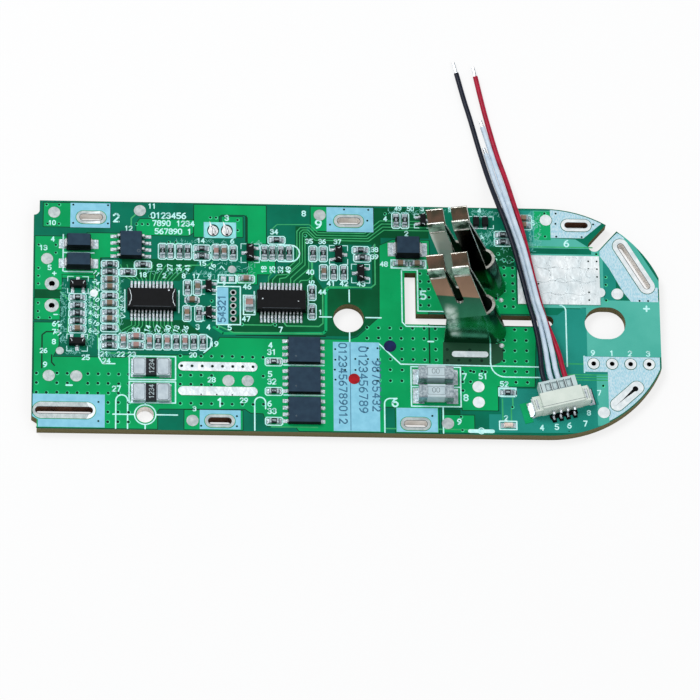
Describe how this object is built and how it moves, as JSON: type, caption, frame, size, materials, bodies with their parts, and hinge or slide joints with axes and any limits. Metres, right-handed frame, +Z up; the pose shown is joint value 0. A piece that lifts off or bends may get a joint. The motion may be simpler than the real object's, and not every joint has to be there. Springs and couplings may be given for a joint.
{
  "type": "battery management circuit board",
  "caption": "Long green circuit board with a rounded end, upright spring terminal clips, fine-pitch chips, plated battery tab slots and a plugged wire lead.",
  "frame": {"origin": "middle of the board outline at the laminate's flat underside", "axes": "+X towards the rounded end, +Y towards the long edge that the lead leaves over, +Z up out of the parts side"},
  "size_m": [0.11, 0.073, 0.0206],
  "materials": {
    "laminate": "glass laminate under green solder mask, satin gloss",
    "print": "pale blue printed ink",
    "ink": "hand-dotted marker ink",
    "tin": "dull tinned copper",
    "solder": "bright solder",
    "spring_sheet": "bright nickel-plated spring sheet",
    "chip_resin": "moulded black resin",
    "power_resin": "moulded blue-black resin",
    "lead": "tinned lead frame",
    "black_glaze": "black glaze on alumina",
    "end_metal": "plated end metal",
    "fuse_ceramic": "off-white unglazed ceramic",
    "capacitor_ceramic": "tan ceramic",
    "light_resin": "milky clear resin",
    "header_plastic": "beige moulded plastic",
    "plug_plastic": "pale grey moulded plastic",
    "black_wire": "soft black insulation",
    "white_wire": "soft white insulation",
    "red_wire": "soft red insulation"
  },
  "bodies": {
    "root": {"circuit_board": "laminate", "print_fields": "print", "ink_dots": "ink", "slot_lands": "tin", "hole_lands": "tin", "test_lands": "tin", "solder_bars": "solder", "solder_field": "solder", "solder_beads": "solder", "component_pads": "solder", "terminal_clip_front": "spring_sheet", "terminal_clip_rear": "spring_sheet", "clip_solder": "solder", "controller_chips": "chip_resin", "controller_leads": "lead", "driver_chip": "chip_resin", "driver_leads": "lead", "power_transistors": "power_resin", "power_transistor_leads": "lead", "sense_resistor_cores": "black_glaze", "sense_resistor_ends": "end_metal", "fuse_bodies": "fuse_ceramic", "fuse_caps": "end_metal", "charge_diodes": "power_resin", "surge_diode": "power_resin", "diode_tabs": "lead", "small_transistors": "chip_resin", "small_transistor_leads": "lead", "small_diodes": "chip_resin", "resistor_bodies": "black_glaze", "resistor_ends": "end_metal", "capacitor_bodies": "capacitor_ceramic", "capacitor_ends": "end_metal", "status_light": "light_resin", "wire_header": "header_plastic", "header_pins": "lead", "header_tabs": "lead", "wire_plug": "plug_plastic", "wire_black": "black_wire", "wire_white_a": "white_wire", "wire_white_b": "white_wire", "wire_red": "red_wire", "wire_tips": "tin"}
  },
  "joints": []
}
